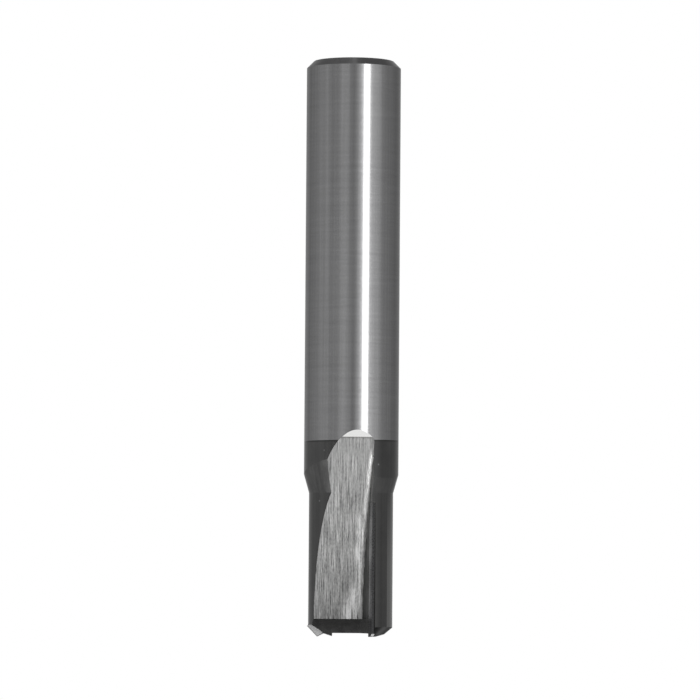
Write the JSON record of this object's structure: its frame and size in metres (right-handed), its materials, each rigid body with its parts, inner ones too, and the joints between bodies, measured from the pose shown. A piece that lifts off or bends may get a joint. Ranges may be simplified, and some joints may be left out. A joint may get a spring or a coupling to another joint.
{
  "type": "router bit",
  "caption": "Straight router bit with a round ground shank, a blackened cutter head, long gullets, brazed side cutting tips and a small plunge tip across the end.",
  "frame": {"origin": "centre of the shank's flat end face", "axes": "+Z along the tool axis from the shank to the cutter; -Y towards the gullet that the picture shows"},
  "size_m": [0.012, 0.012, 0.0732],
  "materials": {
    "tool_steel": "ground shank, blackened head",
    "cutting_plate": "ground",
    "plunge_plate": "fine ground",
    "silver_braze": "satin"
  },
  "bodies": {
    "root": {"tool_body": "tool_steel", "cutting_tip_front": "cutting_plate", "cutting_tip_rear": "cutting_plate", "plunge_tip": "plunge_plate", "braze_front": "silver_braze", "braze_rear": "silver_braze", "braze_plunge": "silver_braze"}
  },
  "joints": []
}
